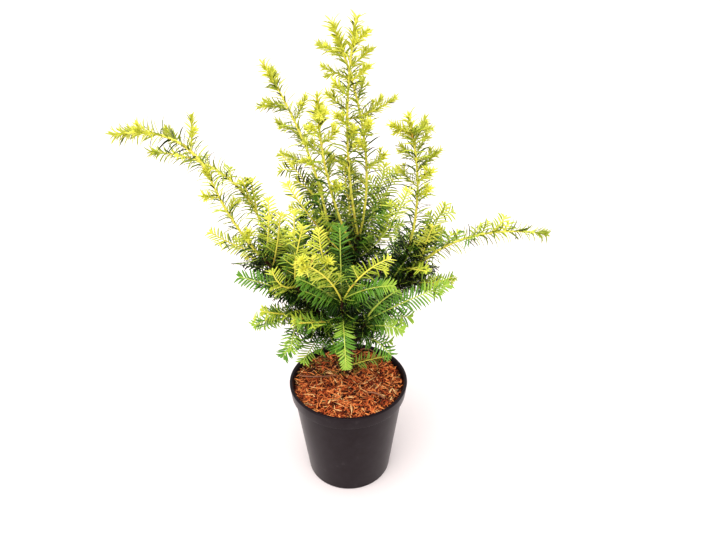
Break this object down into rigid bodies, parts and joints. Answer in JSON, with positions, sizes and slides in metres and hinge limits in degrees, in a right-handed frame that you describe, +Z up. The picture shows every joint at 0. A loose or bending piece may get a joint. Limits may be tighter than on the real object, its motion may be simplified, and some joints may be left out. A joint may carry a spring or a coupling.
{
  "type": "golden yew in a nursery pot",
  "caption": "Young golden yew with upright leaders, long side arms and flat sprays of needles, growing in a round black nursery pot topped with bark mulch.",
  "frame": {"origin": "middle of the pot's flat underside", "axes": "+Z up, along the pot's axis; +Y towards the side of the plant that is away from its front; +X to the right seen from the front"},
  "size_m": [0.5563, 0.298, 0.711],
  "materials": {
    "pot": "black moulded plastic, glossy wall and a slightly duller band",
    "bark_mulch": "shredded bark over moist compost, rough",
    "bark": "thin scaly red-brown bark, matt",
    "foliage_gold": "young golden yellow needles, waxy",
    "foliage_green": "yellow-green needles, waxy",
    "foliage_deep": "deep green needles, waxy"
  },
  "bodies": {
    "root": {"pot": "pot", "growing_medium": "bark_mulch", "trunk": "bark", "bough_right": "bark", "bough_right_arm": "bark", "bough_right_low": "bark", "bough_left_arm": "bark", "bough_left_back": "bark", "bough_left_low": "bark", "bough_front_left": "bark", "bough_front": "bark", "bough_front_right": "bark", "bough_high_left": "bark", "bough_back_left": "bark", "bough_back_right": "bark", "bough_back": "bark", "leader_tall": "foliage_gold", "leader_twin": "foliage_gold", "leader_left": "foliage_gold", "leader_right": "foliage_gold", "upright_front": "foliage_gold", "upright_back": "foliage_gold", "upright_left": "foliage_gold", "upright_inner": "foliage_gold", "upright_cross": "foliage_gold", "upright_right": "foliage_gold", "upright_gold": "foliage_gold", "arm_right": "foliage_gold", "arm_left": "foliage_gold", "arm_left_far": "foliage_gold", "arm_left_upper": "foliage_gold", "arm_left_low": "foliage_gold", "frond_fishbone": "foliage_gold", "frond_left_second": "foliage_gold", "frond_left_third": "foliage_gold", "frond_left_dark": "foliage_green", "frond_left_gold": "foliage_green", "frond_low_left": "foliage_deep", "frond_low_gold": "foliage_green", "frond_rim_left": "foliage_deep", "frond_drooping": "foliage_deep", "frond_inner": "foliage_green", "frond_upright": "foliage_gold", "frond_gold": "foliage_gold", "frond_cluster": "foliage_gold", "frond_front_gold": "foliage_gold", "frond_front_mid": "foliage_green", "frond_right_long": "foliage_green", "frond_right_low": "foliage_deep", "frond_rim_right": "foliage_deep", "frond_right_gold": "foliage_green", "frond_right_end": "foliage_green", "back_left": "foliage_green", "back_left_low": "foliage_deep", "back_right": "foliage_green", "back_right_low": "foliage_deep", "back_upright": "foliage_gold", "back_upright_left": "foliage_gold", "back_upright_right": "foliage_gold", "back_drooping": "foliage_deep"}
  },
  "joints": []
}
